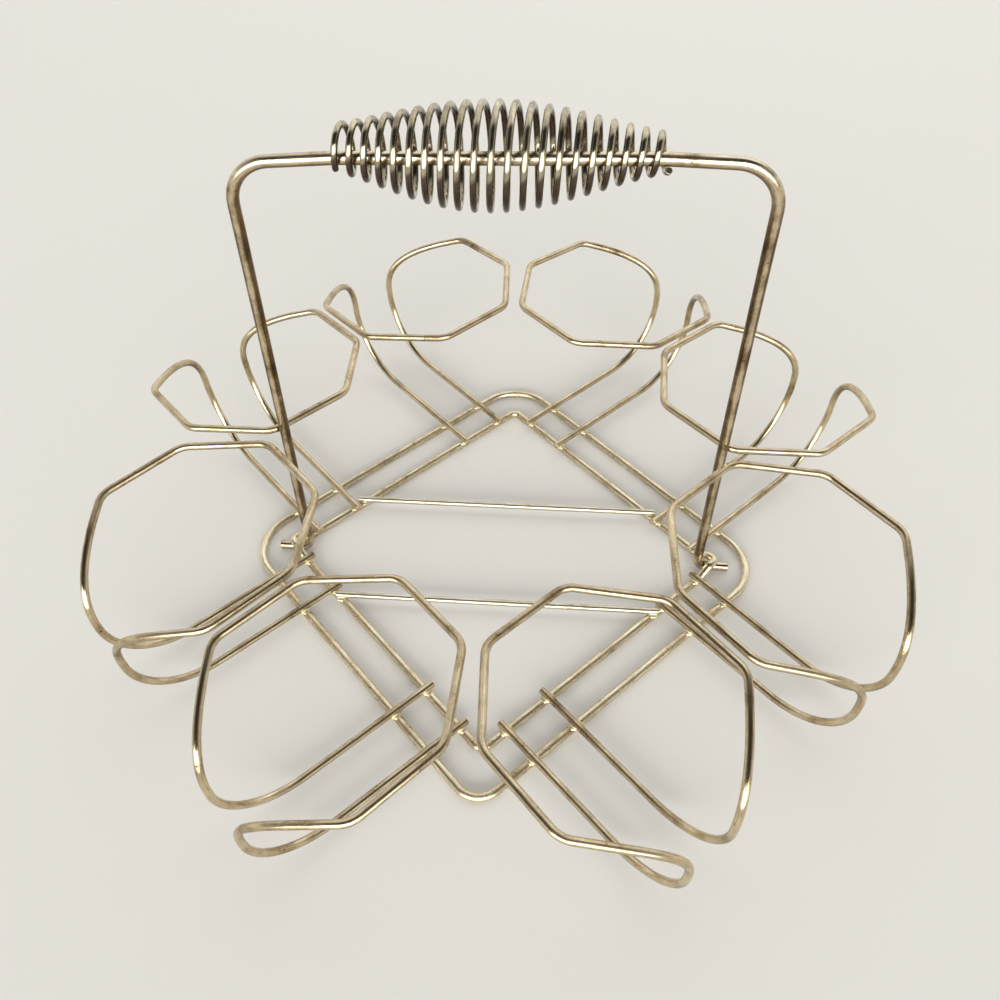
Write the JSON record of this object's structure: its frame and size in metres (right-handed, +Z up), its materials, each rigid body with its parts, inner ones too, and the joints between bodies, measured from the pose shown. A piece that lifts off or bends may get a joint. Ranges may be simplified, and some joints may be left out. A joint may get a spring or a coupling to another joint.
{
  "type": "cocktail glass caddy",
  "caption": "Welded wire drinks caddy: two square frames set as a diamond, open octagonal glass hoops swept up round it, and an upright bail with a wound barrel grip.",
  "frame": {"origin": "on the table, under the middle of the two square frames and of the whole caddy", "axes": "+Z up; +X to the right along the bail's feet and grip; +Y to the back, across the bail"},
  "size_m": [0.308, 0.308, 0.2043],
  "materials": {
    "frame_plate": "pale champagne gold plate on steel wire, worn",
    "hoop_plate": "pale champagne gold plate on steel wire, worn",
    "bail_plate": "browned gold plate on steel wire, polished by hands",
    "grip_plate": "browned gold plate on spring wire"
  },
  "bodies": {
    "base": {"outer_frame": "frame_plate", "inner_frame": "frame_plate", "cross_rod_front": "frame_plate", "cross_rod_back": "frame_plate", "hoop_front_left": "hoop_plate", "hoop_left_front": "hoop_plate", "hoop_left_back": "hoop_plate", "hoop_back_left": "hoop_plate", "hoop_back_right": "hoop_plate", "hoop_right_back": "hoop_plate", "hoop_right_front": "hoop_plate", "hoop_front_right": "hoop_plate"},
    "bail": {"bail": "bail_plate", "spring_grip": "grip_plate"}
  },
  "joints": [
    {"name": "bail_swing", "type": "hinge", "parent": "base", "child": "bail", "pos_m": [0, 0, 0.00225], "axis": [1, 0, 0], "range_deg": [0, 3]}
  ]
}
